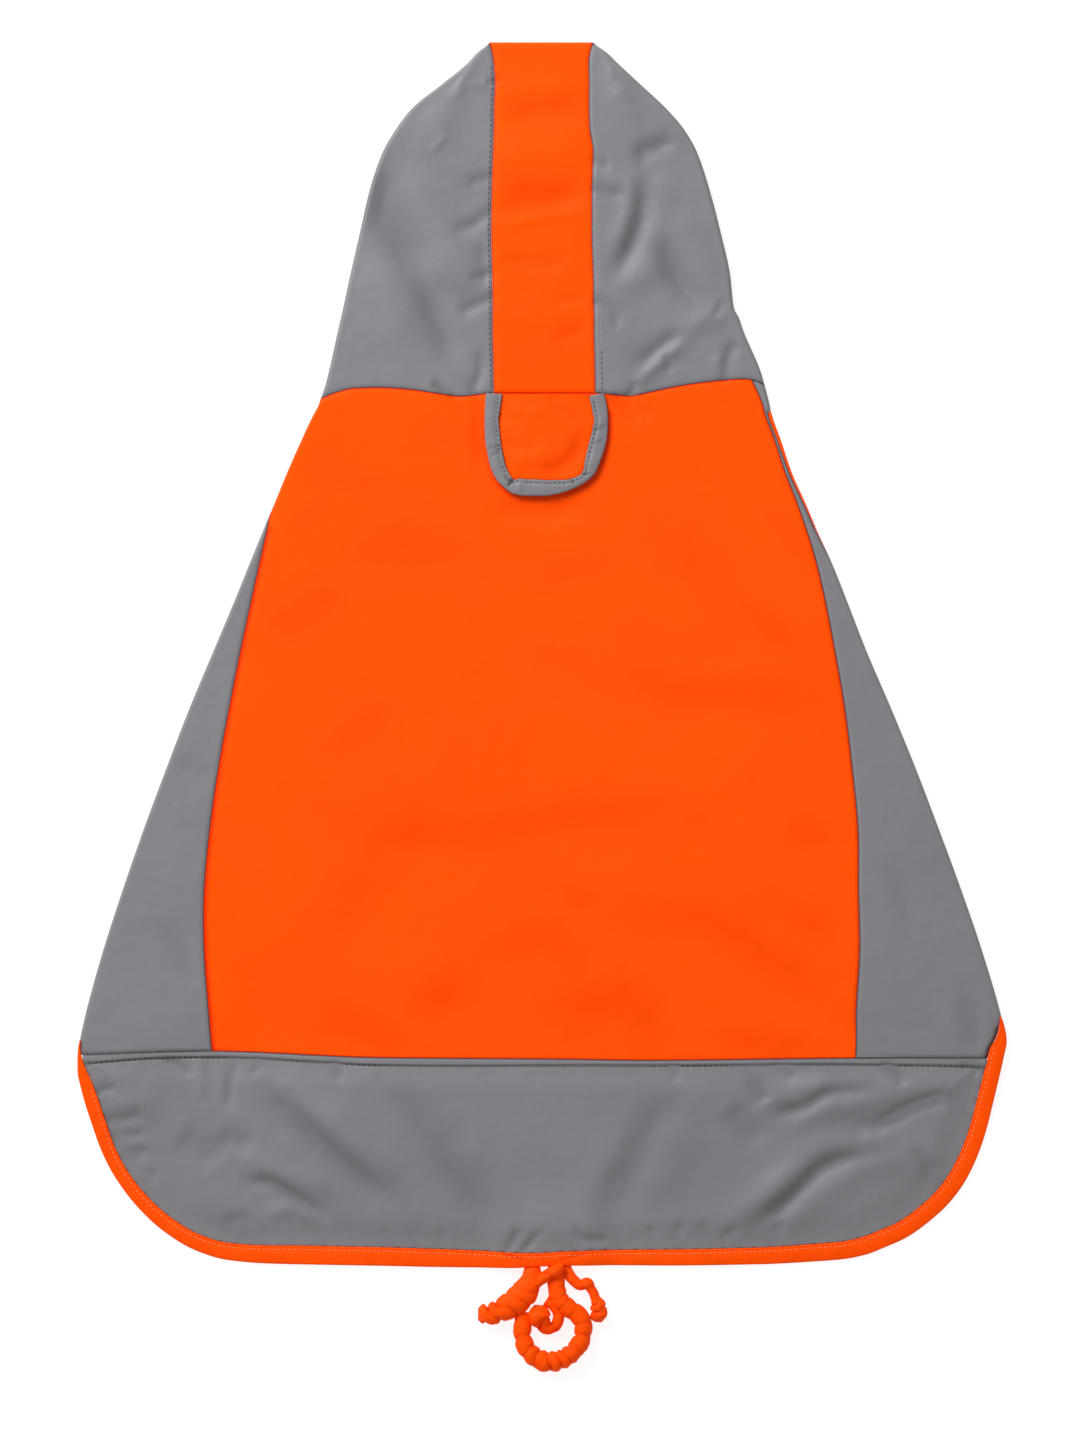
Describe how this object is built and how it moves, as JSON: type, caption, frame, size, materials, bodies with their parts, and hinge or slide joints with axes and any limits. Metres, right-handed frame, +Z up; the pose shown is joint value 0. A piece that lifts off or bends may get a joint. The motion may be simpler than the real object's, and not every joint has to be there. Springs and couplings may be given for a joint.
{
  "type": "dog raincoat",
  "caption": "Hooded waterproof coat for a dog, laid flat with its back up: bound hem, leash flap at the nape and ruched elastic leg loops under the hem.",
  "frame": {"origin": "middle of the outline, on the surface that the coat lies on", "axes": "+X towards the coat's right as it lies, seen from above; +Y along the back towards the hood; +Z up from the surface"},
  "size_m": [0.4818, 0.6892, 0.0107],
  "materials": {
    "orange_softshell": "coated softshell, soft satin",
    "grey_softshell": "coated softshell, soft satin"
  },
  "bodies": {
    "root": {"back_panel": "orange_softshell", "chest_panel": "orange_softshell", "rump_panel": "grey_softshell", "hood_centre": "orange_softshell", "gore_left": "grey_softshell", "gore_right": "grey_softshell", "hood_left": "grey_softshell", "hood_right": "grey_softshell", "hem_binding": "orange_softshell", "arch_binding": "orange_softshell", "leash_flap": "orange_softshell", "flap_binding": "grey_softshell", "leg_loop_ring": "orange_softshell", "leg_loop_right": "orange_softshell", "leg_loop_left": "orange_softshell", "leg_loop_bundle": "orange_softshell"}
  },
  "joints": []
}
